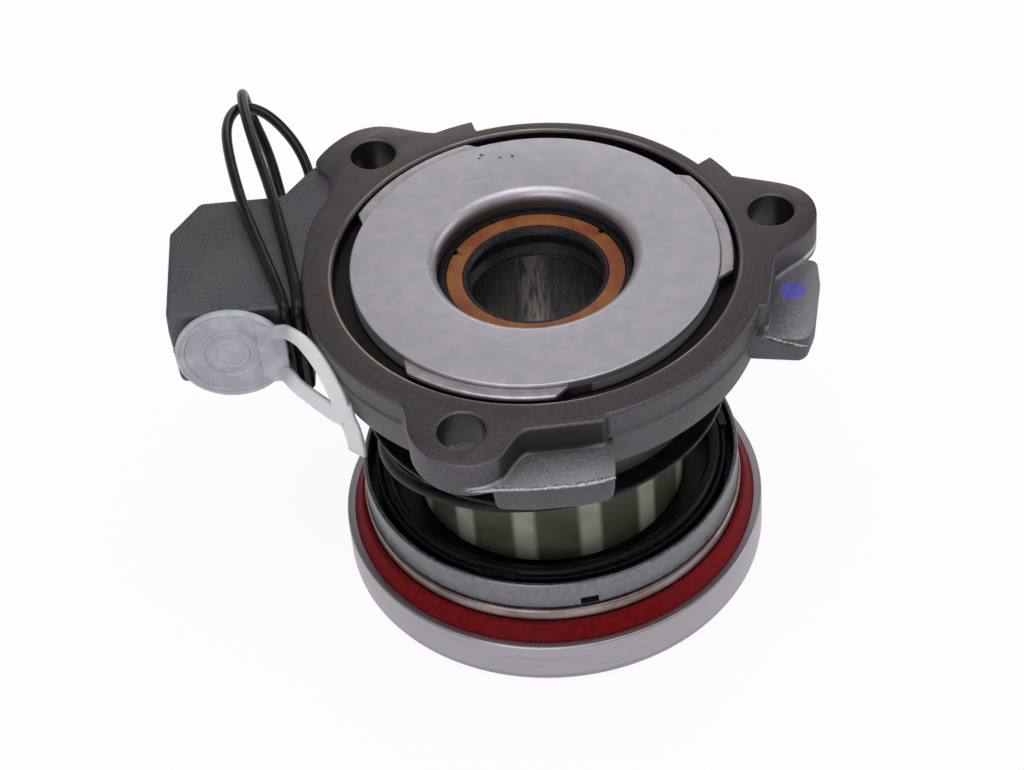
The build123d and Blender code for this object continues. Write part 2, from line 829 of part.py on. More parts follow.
# Loose sealing ring of the flange, wound twice around the root of the block
strand_front = block_front - loose_ring_wire - 0.25
strand_top = block_top + loose_ring_wire + 0.1
strand_bottom = block_underside - loose_ring_wire - 0.1
inner_strand = -(face_radius + loose_ring_wire - 0.45)
outer_strand = inner_strand - 2 * loose_ring_wire - 0.1
strand_middle = (strand_top + strand_bottom) / 2
first_turn = (
    (outer_strand, strand_front, strand_middle),
    (outer_strand, strand_front, strand_top),
    (-52.4, 22.4, strand_top),
    (-55.4, 40.6, 69.4),
    (-55.4, 49.5, 68.0),
    (-53.4, 55.4, 65.9),
    (-48.4, 53.8, 64.6),
    (-42.5, 47.3, 59.5),
    (-40.8, 40.0, 53.0),
    (inner_strand, block_back + 2.0, strand_bottom),
    (inner_strand, strand_front, strand_bottom),
    (inner_strand, strand_front, strand_middle),
)
first_bends = (1.6, 12, 8, 5, 3, 4, 6, 6, 6, 1.6)
second_turn = (
    (inner_strand, strand_front, strand_middle),
    (inner_strand, strand_front, strand_top),
    (-43.35, 3.0, strand_top),
    (-46.9, 22.9, strand_top + 0.1),
    (-50.7, 40.5, 69.7),
    (-52.9, 53.5, 68.9),
    (-53.7, 61.2, 65.6),
    (-53.0, 62.4, 60.6),
    (-49.5, 51.4, 58.2),
    (-47.2, 41.0, 55.5),
    (outer_strand, block_back + 2.0, strand_bottom),
    (outer_strand, strand_front, strand_bottom),
    (outer_strand, strand_front, strand_middle),
)
second_bends = (1.6, 8, 12, 12, 6, 3.2, 2.6, 8, 8, 8, 1.6)
with BuildPart() as flange_o_ring:
    for points, bends in ((first_turn, first_bends), (second_turn, second_bends)):
        with BuildLine() as ring_line:
            FilletPolyline(*points, radius=bends)
        with BuildSketch(Plane(origin=points[0], z_dir=(0, 0, 1))):
            Circle(loose_ring_wire)
        sweep(path=ring_line.line)
flange_o_ring.part.label = "flange_o_ring"
export_step(flange_o_ring.part, "parts/flange_o_ring.step")
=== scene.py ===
import math
import random

import bmesh
import bpy
from mathutils import Matrix, Vector


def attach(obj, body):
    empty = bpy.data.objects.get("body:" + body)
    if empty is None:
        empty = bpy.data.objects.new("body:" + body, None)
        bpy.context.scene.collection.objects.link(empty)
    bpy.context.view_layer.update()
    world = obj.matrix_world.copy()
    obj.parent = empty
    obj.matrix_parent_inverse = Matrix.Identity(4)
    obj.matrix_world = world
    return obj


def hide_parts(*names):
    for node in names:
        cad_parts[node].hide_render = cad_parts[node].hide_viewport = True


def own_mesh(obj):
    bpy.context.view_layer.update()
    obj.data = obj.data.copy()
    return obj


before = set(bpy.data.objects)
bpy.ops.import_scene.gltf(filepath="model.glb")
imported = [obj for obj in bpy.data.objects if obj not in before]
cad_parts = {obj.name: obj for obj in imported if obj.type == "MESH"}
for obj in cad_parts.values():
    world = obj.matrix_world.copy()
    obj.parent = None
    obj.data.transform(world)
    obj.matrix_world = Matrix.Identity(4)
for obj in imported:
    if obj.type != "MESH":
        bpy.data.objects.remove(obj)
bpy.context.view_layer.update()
scene = bpy.context.scene
scene.view_settings.view_transform = "Standard"
MM = 0.001

# The photograph was taken from the port's side, 44 degrees above the table, about half a metre away.
# The camera stands where a fit to the bolt holes and the rings of the bearing puts it.
camera = bpy.data.objects.new("camera", bpy.data.cameras.new("camera"))
scene.collection.objects.link(camera)
scene.camera = camera
camera.data.sensor_width = 36.0
camera.data.lens = 94.6
camera.data.clip_start = 0.05
camera.data.clip_end = 20
camera_right = Vector((0.996, -0.0586, -0.0677))
camera_up = Vector((0.0893, 0.6948, 0.7137))
camera_back = camera_right.cross(camera_up).normalized()
camera_up = camera_back.cross(camera_right).normalized()
camera_right = camera_up.cross(camera_back).normalized()
camera.matrix_world = Matrix.Translation((-0.0035, -0.3583, 0.3873)) @ Matrix(
    (camera_right, camera_up, camera_back)
).transposed().to_4x4()


# A pale table and a white room. What the camera and the metal see of them is plain white,
# and the light itself comes from four large soft panels and a weak even sky.
def feed(tree, node, **inputs):
    """Gives a node its inputs, named as in Blender with _ for a space, or i0, i1 by number, as values or sockets."""
    for key, value in inputs.items():
        by_number = key[0] == "i" and key[1:].isdigit()
        socket = node.inputs[int(key[1:]) if by_number else key.replace("_", " ")]
        if isinstance(value, bpy.types.NodeSocket):
            tree.links.new(value, socket)
        else:
            socket.default_value = value
    return node


def add(tree, kind, settings=None, **inputs):
    """A new shader node with its settings and inputs."""
    made = tree.nodes.new("ShaderNode" + kind)
    for key, value in (settings or {}).items():
        setattr(made, key, value)
    return feed(tree, made, **inputs)


def maths(tree, operation, *values):
    return add(tree, "Math", {"operation": operation}, **{"i%d" % i: v for i, v in enumerate(values)}).outputs[0]


world = bpy.data.worlds.new("room")
scene.world = world
world.use_nodes = True
tree = world.node_tree
strength = add(tree, "MapRange", Value=add(tree, "LightPath").outputs["Is Camera Ray"], To_Min=0.3, To_Max=1.0)
feed(tree, tree.nodes["Background"], Color=(1, 1, 1, 1), Strength=strength.outputs["Result"])

table_reach, table_height = 3, -0.0004
table_corners = [(x * table_reach, y * table_reach, table_height) for x, y in ((-1, -1), (1, -1), (1, 1), (-1, 1))]
table_mesh = bpy.data.meshes.new("table")
table_mesh.from_pydata(table_corners, [], [(0, 1, 2, 3)])
table = bpy.data.objects.new("table", table_mesh)
scene.collection.objects.link(table)
table_material = bpy.data.materials.new("pale_table")
table_material.use_nodes = True
tree = table_material.node_tree
board = tree.nodes["Principled BSDF"]
feed(tree, board, Base_Color=(0.86, 0.86, 0.87, 1), Roughness=0.9, Specular_IOR_Level=0.1)
white = add(tree, "Emission", Color=(1, 1, 1, 1))
seen = add(tree, "LightPath").outputs
by_camera = maths(tree, "MULTIPLY", seen["Is Camera Ray"], 0.93)
by_metal = maths(tree, "MULTIPLY", seen["Is Glossy Ray"], 0.72)
share = maths(tree, "MAXIMUM", by_camera, by_metal)
blend = add(tree, "MixShader", i0=share, i1=board.outputs[0], i2=white.outputs[0])
feed(tree, tree.nodes["Material Output"], Surface=blend.outputs[0])
table_mesh.materials.append(table_material)

for panel_name, place, aim, size, power in (
    ("panel_top", (0.0, -0.1, 1.0), (0, 0, 0.04), 0.8, 5.0),
    ("panel_front", (-0.35, -1.0, 0.45), (0, 0, 0.04), 0.7, 3.5),
    ("panel_right", (0.9, 0.15, 0.4), (0, 0, 0.04), 0.5, 1.5),
    ("panel_back", (0.1, 1.3, 0.55), (0, 0, 0.05), 0.6, 2.0),
):
    lamp = bpy.data.objects.new(panel_name, bpy.data.lights.new(panel_name, "AREA"))
    scene.collection.objects.link(lamp)
    lamp.data.shape = "SQUARE"
    lamp.data.size = size
    lamp.data.energy = power
    lamp.location = place
    lamp.rotation_euler = (Vector(aim) - Vector(place)).to_track_quat("-Z", "Y").to_euler()


# Housing: a dark aluminium die casting, with a grainy skin, rounded edges and a ridge where
# the two halves of the die met. It was milled and bored afterwards: face, groove and holes.
def rounded(corners, steps=5):
    """Outline through (x, y, radius) corners, in millimetres, with an arc at each corner that has a radius."""
    outline = []
    for i, (x, y, radius) in enumerate(corners):
        here = Vector((x, y))
        if radius <= 0:
            outline.append((x, y))
            continue
        before = (Vector(corners[i - 1][:2]) - here).normalized()
        after = (Vector(corners[(i + 1) % len(corners)][:2]) - here).normalized()
        half = before.angle(after) / 2
        reach = radius / math.tan(half)
        centre = here + (before + after).normalized() * radius / math.sin(half)
        first = here + before * reach - centre
        last = here + after * reach - centre
        turn = first.angle_signed(last)
        for k in range(steps + 1):
            spoke = Matrix.Rotation(-turn * k / steps, 2) @ first
            outline.append(tuple(centre + spoke))
    return outline


def mesh_piece(name, points, faces, sharp=32):
    """A piece from points in millimetres, smooth apart from edges sharper than the given angle."""
    mesh = bpy.data.meshes.new(name)
    mesh.from_pydata([tuple(c * MM for c in p) for p in points], [], faces)
    shaped = bmesh.new()
    shaped.from_mesh(mesh)
    bmesh.ops.remove_doubles(shaped, verts=shaped.verts, dist=1e-7)
    bmesh.ops.recalc_face_normals(shaped, faces=shaped.faces)
    shaped.to_mesh(mesh)
    shaped.free()
    piece = bpy.data.objects.new(name, mesh)
    scene.collection.objects.link(piece)
    smooth(piece, sharp)
    return piece


def smooth(piece, sharp=32):
    piece.data.polygons.foreach_set("use_smooth", [True] * len(piece.data.polygons))
    piece.data.set_sharp_from_angle(angle=math.radians(sharp))


def turned(name, corners, segments=240, start=0.0, arc=360.0, sharp=32, steps=5):
    """A piece turned around the axis from (radius, height, rounding) corners."""
    outline = rounded(corners, steps)
    count = len(outline)
    rings = segments if arc >= 360 else segments + 1
    points, faces = [], []
    for j in range(rings):
        angle = math.radians(start + arc * j / segments)
        for radius, height in outline:
            points.append((radius * math.cos(angle), radius * math.sin(angle), height))
    for j in range(segments):
        a, b = j * count, ((j + 1) % rings) * count
        for i in range(count):
            k = (i + 1) % count
            faces.append((a + i, b + i, b + k, a + k))
    if arc < 360:
        faces.append(tuple(range(count)))
        faces.append(tuple((rings - 1) * count + i for i in range(count)))
    return mesh_piece(name, points, faces, sharp)


def inset(outline, distance):
    """The outline moved inwards by a distance, for outlines that run anticlockwise."""
    moved = []
    for i in range(len(outline)):
        here = Vector(outline[i])
        a = (here - Vector(outline[i - 1])).normalized()
        b = (Vector(outline[(i + 1) % len(outline)]) - here).normalized()
        across = Vector((-a.y, a.x)) + Vector((-b.y, b.x))
        across.normalize()
        moved.append(tuple(here + across * distance / max(0.4, across.dot(Vector((-a.y, a.x))))))
    return moved


def skin_faces(rows, count, ring=False):
    """Faces over rows of points: a strip between each two rows, and both ends unless the rows close a ring."""
    faces = []
    for k in range(rows if ring else rows - 1):
        n = (k + 1) % rows
        for i in range(count):
            j = (i + 1) % count
            faces.append((k * count + i, k * count + j, n * count + j, n * count + i))
    if not ring:
        faces += [tuple(reversed(range(count))), tuple((rows - 1) * count + i for i in range(count))]
    return faces


def slab(name, outline, levels):
    """A solid from an anticlockwise outline: each level is a height and how far the outline is drawn in there."""
    points = []
    for height, drawn_in in levels:
        points += [(x, y, height) for x, y in inset(outline, drawn_in)]
    return mesh_piece(name, points, skin_faces(len(levels), len(outline)))


def combine(base, others, operation):
    """Joins other pieces to the base, or cuts them from it, and removes them."""
    for other in others:
        change = base.modifiers.new("change", "BOOLEAN")
        change.operation = operation
        change.solver = "EXACT"
        change.object = other
        bpy.context.view_layer.update()
        result = bpy.data.meshes.new_from_object(base.evaluated_get(bpy.context.evaluated_depsgraph_get()))
        base.modifiers.clear()
        base.data = result
        bpy.data.objects.remove(other)
    return base


def ring_point(radius, angle):
    return radius * math.cos(math.radians(angle)), radius * math.sin(math.radians(angle))


def drilled(name, start, end, radius, segments=64):
    """A round solid between two points, to cut a hole with."""
    start, end = Vector(start), Vector(end)
    turn = (end - start).to_track_quat("Z", "Y").to_matrix()
    points = []
    for place in (start, end):
        for k in range(segments):
            spoke = Vector((*ring_point(radius, 360 * k / segments), 0))
            points.append(tuple(place + turn @ spoke))
    return mesh_piece(name, points, skin_faces(2, segments))


def circle(x, y, radius, steps):
    turns = [2 * math.pi * k / steps for k in range(steps)]
    return [(x + radius * math.cos(t), y + radius * math.sin(t)) for t in turns]


def turned_outline(points, angle):
    """Outline points turned around the axis by an angle."""
    c, s = math.cos(math.radians(angle)), math.sin(math.radians(angle))
    return [(x * c - y * s, x * s + y * c) for x, y in points]


def flowing(points, steps=4):
    """A smooth line through points, flat or in space, without overshoot at its ends."""
    points = [Vector(p) for p in points]
    line = []
    for k in range(len(points) - 1):
        a, b, c, d = points[max(k - 1, 0)], points[k], points[k + 1], points[min(k + 2, len(points) - 1)]
        slope, sag, twist = c - a, 2 * a - 5 * b + 4 * c - d, 3 * b - a - 3 * c + d
        for i in range(steps):
            t = i / steps
            line.append(0.5 * (2 * b + slope * t + sag * t * t + twist * t * t * t))
    line.append(points[-1])
    return line


face_height, parting_height, block_top, block_base = 69.4, 63.4, 68.0, 50.7
ear_angles, bolt_circle, bolt_hole_radius, boss_radius = (10.0, 130.0, 250.0), 43.78, 4.2, 6.6
ear_underside, ledge_reach = 62.3, 22
housing = turned(
    "housing_casting",
    [
        (15.25, 54.8, 0), (15.25, 56.1, 0), (17.1, 56.1, 0), (17.1, 57.8, 0), (19.01, 57.8, 0), (19.01, 68.0, 0),
        (19.8, 68.8, 0), (32.9, 68.8, 0.1), (32.9, 66.2, 0.3), (36.2, 66.2, 0.4), (36.2, 69.0, 0.1), (36.55, 69.4, 0.15),
        (38.5, 69.4, 0.3), (39.2, 68.6, 0.3), (38.7, 55.5, 0.5), (36.8, 55.5, 0.5), (36.0, 60.1, 1.0), (30.2, 60.1, 1.0),
        (30.2, 41.5, 0.3), (28.3, 41.5, 0.2), (28.3, 36.6, 0.3), (26.2, 36.6, 0.2), (25.6, 37.8, 0), (25.6, 54.8, 0.5),
    ],
    segments=300,
)
rim = turned(
    "rim",
    [
        (38.0, 69.4, 0), (41.5, 69.4, 0.35), (41.85, 68.8, 0.3), (41.35, 64.3, 0.15), (41.75, 63.95, 0.12),
        (41.1, 63.35, 0.15), (40.0, 55.5, 0.9), (38.0, 55.5, 0),
    ],
    segments=300, start=103, arc=292, steps=3,
)
parts = [rim]

right_ear = flowing([
    (42.2, -5.0), (44.6, -2.9), (47.6, -0.7), (50.2, 2.4), (51.2, 6.0), (50.9, 9.6), (49.0, 12.9), (45.6, 15.0),
    (41.0, 16.8), (36.5, 18.5), (33.2, 19.8), (31.5, 21.0),
])
left_ear = flowing([
    (-8.4, 37.7), (-9.0, 38.6), (-10.4, 39.2), (-13.5, 38.9), (-16.2, 38.3), (-20.0, 39.4), (-24.4, 41.2),
    (-28.0, 41.8), (-32.2, 40.6), (-35.8, 37.6), (-38.3, 34.2), (-38.9, 32.4), (-38.5, 31.0), (-37.2, 29.4),
    (-36.4, 27.2), (-36.3, 24.2), (-37.4, 20.8), (-39.2, 17.2), (-40.5, 12.4), (-41.1, 7.0), (-41.2, 1.0),
])
front_ear = flowing([
    (-27.0, -31.1), (-25.0, -33.4), (-24.2, -36.8), (-24.0, -40.2), (-23.2, -42.9), (-21.6, -45.6), (-18.9, -48.2),
    (-15.3, -49.7), (-11.9, -49.7), (-8.9, -48.1), (-7.0, -45.3), (-5.2, -43.0), (-3.6, -42.3),
])
flange_outline = right_ear + [ring_point(38.2, 38 + 62 * k / 12) for k in range(13)] + left_ear
flange_outline += [ring_point(41.2, 187 + 40 * k / 8) for k in range(9)] + front_ear
flange_outline += [(8.6, -41.9), (9.2, -41.4), (9.5, -40.1)]
flange_outline += [ring_point(41.2, -75 + 48 * k / 10) for k in range(11)]
flange_outline += [(37.2, -17.3), (39.0, -17.4), (39.6, -17.0)]
quarter = [math.pi / 2 * k / 3 for k in range(4)]
ear_levels = [(ear_underside + 0.5 * (1 - math.cos(t)), 0.5 * (1 - math.sin(t))) for t in quarter]
ear_levels += [(face_height - 0.3 * (1 - math.sin(t)), 0.3 * (1 - math.cos(t))) for t in quarter]
ears = slab("ears", flange_outline, ear_levels)
parts.append(combine(ears, [drilled("core", (0, 0, 59), (0, 0, 71), 37.6, 200)], "DIFFERENCE"))

lug_outline = rounded([
    (38.6, -10.2, 0), (49.4, -10.4, 1.6), (50.4, -4.0, 9.0), (50.4, 5.0, 9.0), (49.3, 10.4, 2.4), (38.6, 10.6, 0),
])
lug_levels = [(57.0, 1.6), (57.25, 1.0), (57.9, 0.5), (58.8, 0.3)]
lug_levels += [(parting_height - 0.3, 0.0), (parting_height - 0.08, 0.06), (parting_height, 0.3)]
for index, (angle, flip) in enumerate(((-90.4, 1), (-12.2, -1))):
    outline = [(x, flip * y) for x, y in lug_outline][::flip]
    parts.append(slab("lug_%d" % index, turned_outline(outline, angle), lug_levels))

upper_outline = rounded([
    (-66.2, -5.4, 1.6), (-38.4, -5.4, 0), (-35.2, 17.0, 0), (-33.0, 28.0, 0), (-36.8, 35.6, 0), (-40.4, 32.2, 2.0),
    (-45.4, 25.6, 2.0), (-60.7, 25.6, 1.6), (-66.2, 17.6, 1.6),
])
upper_levels = [(parting_height - 0.3, 0.4), (parting_height, 0), (67.4, 0.14), (67.85, 0.3), (block_top, 0.75)]
parts.append(slab("block_upper", upper_outline, upper_levels))
lower_outline = rounded(
    [(-66.2, -5.4, 1.6), (-39.2, -5.4, 0), (-39.2, 25.6, 0), (-60.7, 25.6, 1.6), (-66.2, 17.6, 1.6)]
)
quarter = [math.pi / 2 * k / 5 for k in range(6)]
lower_levels = [(block_base + 2.2 * (1 - math.cos(t)), 0.42 + 2.2 * (1 - math.sin(t))) for t in quarter]
lower_levels += [(parting_height - 0.35, 0.03), (parting_height + 0.1, 0.0), (parting_height + 0.4, 0.6)]
parts.append(slab("block_lower", lower_outline, lower_levels))

for angle in ear_angles:
    ledge = turned(
        "pad",
        [(32.6, 65.9, 0), (35.3, 65.9, 0), (35.3, 69.6, 0.3), (33.1, 69.6, 0.1), (33.1, 68.7, 0), (32.6, 68.7, 0)],
        segments=40, start=-ledge_reach, arc=2 * ledge_reach,
    )
    for vertex in ledge.data.vertices:
        radius = math.hypot(vertex.co.x, vertex.co.y)
        turn = math.degrees(math.atan2(vertex.co.y, vertex.co.x))
        turn *= 1 + 0.2 * (0.0353 - radius) / 0.0022
        vertex.co.x, vertex.co.y = ring_point(radius, angle + turn)
    parts.append(ledge)
ear_centres = [ring_point(bolt_circle, angle) for angle in ear_angles]
for x, y in ear_centres[:2]:
    parts.append(slab("boss", circle(x, y, boss_radius, 48), [(60.4, 0.6), (60.6, 0.2), (61.0, 0), (64.0, 0)]))
combine(housing, parts, "UNION")

hole_levels = [(58, 0), (face_height - 0.3, 0), (face_height + 0.1, -0.4), (71, -0.4)]
cuts = [slab("bolt_hole", circle(x, y, bolt_hole_radius, 64), hole_levels) for x, y in ear_centres]
port_x, port_z, port_front = -55.7, 60.8, -5.4
cuts.append(drilled("port", (port_x, port_front - 3, port_z), (port_x, 8.6, port_z), 5.6))
cuts.append(drilled("pilot", (port_x, 8.0, port_z), (port_x, 13.6, port_z), 3.4))
combine(housing, cuts, "DIFFERENCE")

# The torn edge of metal that the trimming tool left along the stop lugs
torn_paths = (
    [(-14.5, -49.9), (-9.6, -50.0), (-4.0, -50.5), (5.0, -50.5), (10.0, -49.4)],
    [(38.2, -18.6), (42.5, -21.2), (45.6, -22.3)],
)
random.seed(4)
torn = bmesh.new()
torn.from_mesh(housing.data)
for path in torn_paths:
    run = flowing(path, 24)
    previous = None
    for k, (x, y) in enumerate(run):
        fade = min(1.0, k / 6, (len(run) - 1 - k) / 10)
        out = Vector((x, y)).normalized() * (0.12 + 0.42 * random.random() * fade)
        high = parting_height + 0.15 + 0.4 * random.random() * fade
        corners = (
            (x - out.x * 2.2, y - out.y * 2.2, parting_height - 0.1), (x, y, high),
            (x + out.x * 0.6, y + out.y * 0.6, high - 0.1), (x, y, parting_height - 0.5),
        )
        row = [torn.verts.new(Vector(c) * MM) for c in corners]
        if previous:
            for i in range(4):
                torn.faces.new((previous[i], row[i], row[(i + 1) % 4], previous[(i + 1) % 4]))
        previous = row
torn.to_mesh(housing.data)
torn.free()
smooth(housing, 34)


def mixed(tree, share, first, second):
    """Colour between two colours, by a share from 0 to 1."""
    first, second = ((*c, 1) if isinstance(c, tuple) else c for c in (first, second))
    return add(tree, "Mix", {"data_type": "RGBA"}, i0=share, i6=first, i7=second).outputs[2]


def between(tree, value, low, high, to_low=0.0, to_high=1.0):
    """Maps a value smoothly from low..high to to_low..to_high."""
    return add(
        tree, "MapRange", {"interpolation_type": "SMOOTHSTEP"},
        Value=value, From_Min=low, From_Max=high, To_Min=to_low, To_Max=to_high,
    ).outputs[0]


def srgb(red, green, blue):
    return tuple(((c / 255 + 0.055) / 1.055) ** 2.4 if c > 10 else c / 255 / 12.92 for c in (red, green, blue))


def product(tree, *factors):
    result = factors[0]
    for factor in factors[1:]:
        result = maths(tree, "MULTIPLY", result, factor)
    return result


def away_from(tree, value, middle):
    return maths(tree, "ABSOLUTE", maths(tree, "SUBTRACT", value, middle))


def stretched(tree, vector, factors):
    return add(tree, "VectorMath", {"operation": "MULTIPLY"}, i0=vector, i1=factors).outputs[0]


def distance(tree, vector, point):
    return add(tree, "VectorMath", {"operation": "DISTANCE"}, i0=vector, i1=point).outputs["Value"]


def along(tree, vector, axis):
    return add(tree, "SeparateXYZ", i0=vector).outputs[axis]


def noise(tree, vector, scale, detail=3.0, rough=0.5):
    return add(tree, "TexNoise", Vector=vector, Scale=scale, Detail=detail, Roughness=rough).outputs[0]


def relief(tree, height, strength, depth=0.0001, **normal):
    """Fine relief of a surface, for a shader's Normal."""
    return add(tree, "Bump", Strength=strength, Distance=depth, Height=height, **normal).outputs[0]


def place_group():
    """Node group: place on the part in millimetres, as radius, angle in degrees and height, and the plain vector."""
    tree = bpy.data.node_groups.new("place_in_mm", "ShaderNodeTree")
    for name in ("Vector", "Radius", "Angle", "Height"):
        kind = "NodeSocketVector" if name == "Vector" else "NodeSocketFloat"
        tree.interface.new_socket(name, in_out="OUTPUT", socket_type=kind)
    coordinates = add(tree, "TexCoord").outputs["Object"]
    scaled = add(tree, "VectorMath", {"operation": "SCALE"}, i0=coordinates, Scale=1000.0).outputs[0]
    x, y, height = add(tree, "SeparateXYZ", i0=scaled).outputs
    flat = add(tree, "CombineXYZ", X=x, Y=y).outputs[0]
    radius = add(tree, "VectorMath", {"operation": "LENGTH"}, i0=flat).outputs["Value"]
    angle = maths(tree, "MULTIPLY", maths(tree, "ARCTAN2", y, x), 180 / math.pi)
    end = tree.nodes.new("NodeGroupOutput")
    for name, socket in (("Vector", scaled), ("Radius", radius), ("Angle", angle), ("Height", height)):
        tree.links.new(socket, end.inputs[name])
    return tree


def use_group(tree, group):
    made = tree.nodes.new("ShaderNodeGroup")
    made.node_tree = group
    return made


def lathe_group():
    """Node group: fine lines that a lathe tool leaves, around the axis, fading in and out."""
    tree = bpy.data.node_groups.new("lathe_lines", "ShaderNodeTree")
    tree.interface.new_socket("Fineness", in_out="INPUT", socket_type="NodeSocketFloat").default_value = 6.0
    tree.interface.new_socket("Lines", in_out="OUTPUT", socket_type="NodeSocketFloat")
    start = tree.nodes.new("NodeGroupInput")
    place = use_group(tree, place_nodes).outputs
    sweep = maths(tree, "MULTIPLY", place["Angle"], 0.004)
    spread = add(tree, "CombineXYZ", X=place["Radius"], Y=place["Height"], Z=sweep).outputs[0]
    end = tree.nodes.new("NodeGroupOutput")
    tree.links.new(noise(tree, spread, start.outputs[0], 4.0, 0.7), end.inputs[0])
    return tree


place_nodes = place_group()
lathe_nodes = lathe_group()


def new_material(name):
    """Material, its tree, its Principled shader, and where a point is on the part."""
    made = bpy.data.materials.new(name)
    made.use_nodes = True
    tree = made.node_tree
    return made, tree, tree.nodes["Principled BSDF"], use_group(tree, place_nodes).outputs


def lathe_lines(tree, fineness):
    made = use_group(tree, lathe_nodes)
    made.inputs[0].default_value = fineness
    return made.outputs[0]


def finish(piece, chosen):
    """Gives a piece one material in every slot."""
    if not piece.data.materials:
        piece.data.materials.append(chosen)
    for slot in piece.material_slots:
        slot.link = "DATA"
        slot.material = chosen


cast, tree, shader, place = new_material("cast_aluminium")
spot, radius, height = place["Vector"], place["Radius"], place["Height"]
grain = noise(tree, spot, 2.6, 5.0, 0.62)
flecks = noise(tree, spot, 5.5, 2.0)
patches = noise(tree, spot, 0.09)
skin = mixed(tree, between(tree, grain, 0.35, 0.68), srgb(80, 79, 84), srgb(108, 107, 113))
skin = mixed(tree, between(tree, patches, 0.35, 0.7, 0.0, 0.45), skin, srgb(108, 106, 109))
skin = mixed(tree, between(tree, flecks, 0.70, 0.78, 0.0, 0.35), skin, srgb(180, 180, 186))

# Milled face, with a bright edge along the groove: partly the bare metal, partly a painted highlight
up = along(tree, add(tree, "NewGeometry").outputs["True Normal"], "Z")
milled = product(tree, between(tree, height, 69.22, 69.3), between(tree, up, 0.6, 0.8))
lines = lathe_lines(tree, 5.0)
face_colour = mixed(tree, between(tree, lines, 0.3, 0.7), srgb(82, 75, 76), srgb(94, 87, 88))
face_colour = mixed(tree, between(tree, patches, 0.4, 0.7, 0.0, 0.5), face_colour, srgb(88, 78, 76))
edge = between(tree, away_from(tree, radius, 36.6), 0.4, 0.1)
edge = product(tree, edge, between(tree, noise(tree, spot, 0.05, 2.0), 0.35, 0.6, 0.2, 0.85))
face_colour = mixed(tree, edge, face_colour, srgb(176, 158, 134))
colour = mixed(tree, milled, skin, face_colour)

# Painted shade in the groove, with a bright collar inside it
in_groove = product(
    tree, between(tree, radius, 36.58, 36.5), between(tree, height, 68.9, 68.6), between(tree, radius, 30.5, 31.5)
)
colour = mixed(tree, in_groove, colour, srgb(40, 37, 37))
collar = product(tree, in_groove, between(tree, radius, 33.2, 33.0), between(tree, height, 66.6, 67.4))
colour = mixed(tree, collar, colour, srgb(176, 170, 178))

# Sheared tops of the stop lugs, and painted shade on the wall above the front one
lug_top = product(
    tree, between(tree, height, 63.0, 63.3), between(tree, height, 64.6, 64.2), between(tree, radius, 42.2, 43.0),
    between(tree, along(tree, spot, "X"), -16.0, -12.0),
)
coarse = noise(tree, spot, 1.4, 4.0, 0.7)
sheared = mixed(tree, between(tree, coarse, 0.35, 0.65), srgb(104, 102, 107), srgb(136, 132, 138))
sheared = mixed(tree, between(tree, radius, 44.0, 50.0, 0.0, 0.6), sheared, srgb(176, 172, 178))
colour = mixed(tree, product(tree, lug_top, 0.8), colour, sheared)
colour = mixed(tree, product(tree, lug_top, between(tree, height, 63.42, 63.5)), colour, srgb(206, 202, 208))
# The wall above the front lug is painted dark: painted shade.
painted_pocket_shade = product(
    tree, between(tree, away_from(tree, place["Angle"], -88.6), 12.6, 11.6), between(tree, up, 0.5, 0.2),
    between(tree, height, 63.4, 64.4), between(tree, height, 69.3, 68.7), 0.85,
)
colour = mixed(tree, painted_pocket_shade, colour, srgb(52, 49, 52))

# Bored holes, milled ledges and a dab of inspection paint on the right lug
bored = 0.0
flat = stretched(tree, spot, (1, 1, 0))
for x, y in ear_centres:
    bored = maths(tree, "MAXIMUM", between(tree, distance(tree, flat, (x, y, 0)), 4.45, 4.3), bored)
bored = product(tree, bored, between(tree, up, 0.6, 0.3), between(tree, height, 62.2, 62.4))
colour = mixed(tree, bored, colour, srgb(68, 63, 64))
pad = product(tree, between(tree, radius, 35.6, 35.5), between(tree, height, 68.8, 69.3))
pad_share = between(tree, noise(tree, spot, 0.4), 0.35, 0.65)
colour = mixed(tree, pad, colour, mixed(tree, pad_share, srgb(172, 164, 171), srgb(188, 180, 187)))
dab = maths(tree, "ADD", distance(tree, spot, (45.1, -7.7, 63.3)), product(tree, noise(tree, spot, 0.9, 3.0, 0.6), 1.8))
colour = mixed(tree, between(tree, dab, 3.5, 2.8, 0.0, 0.85), colour, srgb(112, 112, 214))

cut = maths(tree, "MAXIMUM", milled, maths(tree, "MAXIMUM", bored, pad))
rough = maths(tree, "SUBTRACT", between(tree, grain, 0.3, 0.7, 0.48, 0.66), product(tree, cut, 0.2))
bumps = product(
    tree, maths(tree, "ADD", grain, product(tree, flecks, 0.3)), maths(tree, "SUBTRACT", 1.0, cut)
)
rounding = add(tree, "Bevel", {"samples": 6}, Radius=0.00035).outputs[0]
feed(
    tree, shader, Base_Color=colour, Metallic=0.85, Roughness=rough,
    Normal=relief(tree, bumps, 0.4, 0.00025, Normal=rounding),
)
finish(housing, cast)
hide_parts("housing")
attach(housing, "housing_group")


# Guide sleeve: plate, neck and tube drawn from one sheet of zinc-plated steel, with the bright
# drawn radius at the mouth and small dark stains on the plate. It is staked into the casting.
guide_sleeve = turned(
    "guide_sleeve_drawn",
    [
        (13.9, 11.0, 0.15), (13.9, 59.0, 0.5), (17.66, 59.0, 0.9), (17.66, 70.3, 1.9), (33.0, 70.3, 0.3),
        (33.0, 68.8, 0.2), (18.86, 68.8, 0.9), (18.86, 57.8, 0.6), (15.1, 57.8, 0.3), (15.1, 11.0, 0.15),
    ],
    segments=288, steps=8,
)
zinc, tree, shader, place = new_material("zinc_plate")
spot, height = place["Vector"], place["Height"]
mottle = noise(tree, spot, 0.35, 4.0, 0.6)
fine = noise(tree, spot, 3.0, 3.0, 0.6)
colour = mixed(tree, between(tree, mottle, 0.35, 0.65), srgb(182, 177, 185), srgb(190, 185, 192))
colour = mixed(tree, between(tree, fine, 0.62, 0.75, 0.0, 0.25), colour, srgb(150, 146, 152))
